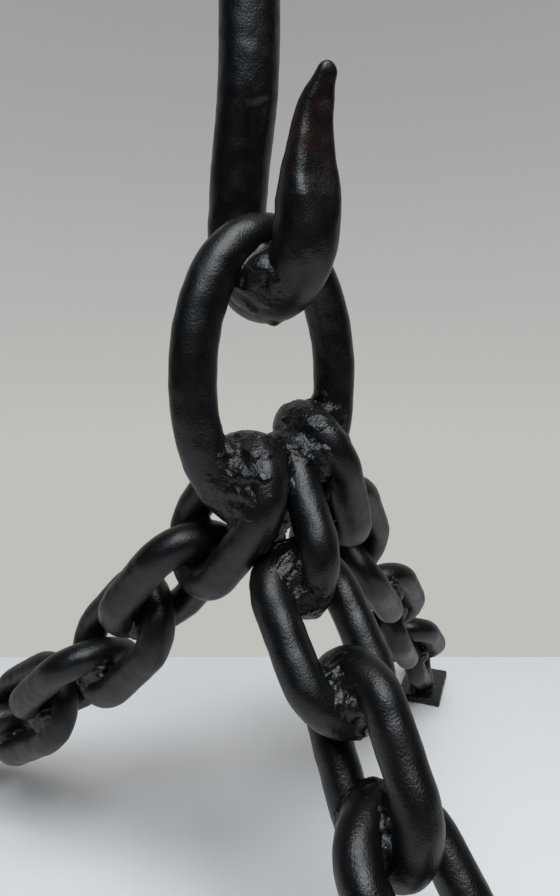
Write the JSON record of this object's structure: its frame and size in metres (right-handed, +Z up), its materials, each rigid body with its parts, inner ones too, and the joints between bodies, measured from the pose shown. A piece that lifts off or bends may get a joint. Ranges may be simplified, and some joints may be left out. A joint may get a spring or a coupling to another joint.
{
  "type": "chain stand",
  "caption": "Rigid black stand of welded lifting gear: a long-shank hook standing in an oval ring on spread chain legs with flat foot plates.",
  "frame": {"origin": "on the floor, under the centre of the stand's bounding box", "axes": "+Z up; the oval ring lies in the XZ plane; the hook lies in the YZ plane with its tip towards -Y"},
  "size_m": [0.4108, 0.5236, 0.4888],
  "materials": {
    "black_paint": "semi-gloss black paint over forged and rolled steel",
    "painted_weld": "glossier black paint over rippled weld metal"
  },
  "bodies": {
    "root": {"ring": "black_paint", "hook": "black_paint", "hook_bead": "painted_weld", "left_link_1": "black_paint", "left_bead_1": "painted_weld", "left_link_2": "black_paint", "left_bead_2": "painted_weld", "left_link_3": "black_paint", "left_bead_3": "painted_weld", "left_link_4": "black_paint", "left_bead_4": "painted_weld", "left_link_5": "black_paint", "left_bead_5": "painted_weld", "left_link_6": "black_paint", "left_bead_6": "painted_weld", "left_link_7": "black_paint", "left_bead_7": "painted_weld", "left_foot_plate": "black_paint", "left_foot_bead": "painted_weld", "front_link_1": "black_paint", "front_bead_1": "painted_weld", "front_link_2": "black_paint", "front_bead_2": "painted_weld", "front_link_3": "black_paint", "front_bead_3": "painted_weld", "front_link_4": "black_paint", "front_bead_4": "painted_weld", "front_link_5": "black_paint", "front_bead_5": "painted_weld", "front_link_6": "black_paint", "front_bead_6": "painted_weld", "front_link_7": "black_paint", "front_bead_7": "painted_weld", "front_foot_plate": "black_paint", "front_foot_bead": "painted_weld", "rear_link_1": "black_paint", "rear_bead_1": "painted_weld", "rear_link_2": "black_paint", "rear_bead_2": "painted_weld", "rear_link_3": "black_paint", "rear_bead_3": "painted_weld", "rear_link_4": "black_paint", "rear_bead_4": "painted_weld", "rear_link_5": "black_paint", "rear_bead_5": "painted_weld", "rear_link_6": "black_paint", "rear_bead_6": "painted_weld", "rear_link_7": "black_paint", "rear_bead_7": "painted_weld", "rear_foot_plate": "black_paint", "rear_foot_bead": "painted_weld"}
  },
  "joints": []
}
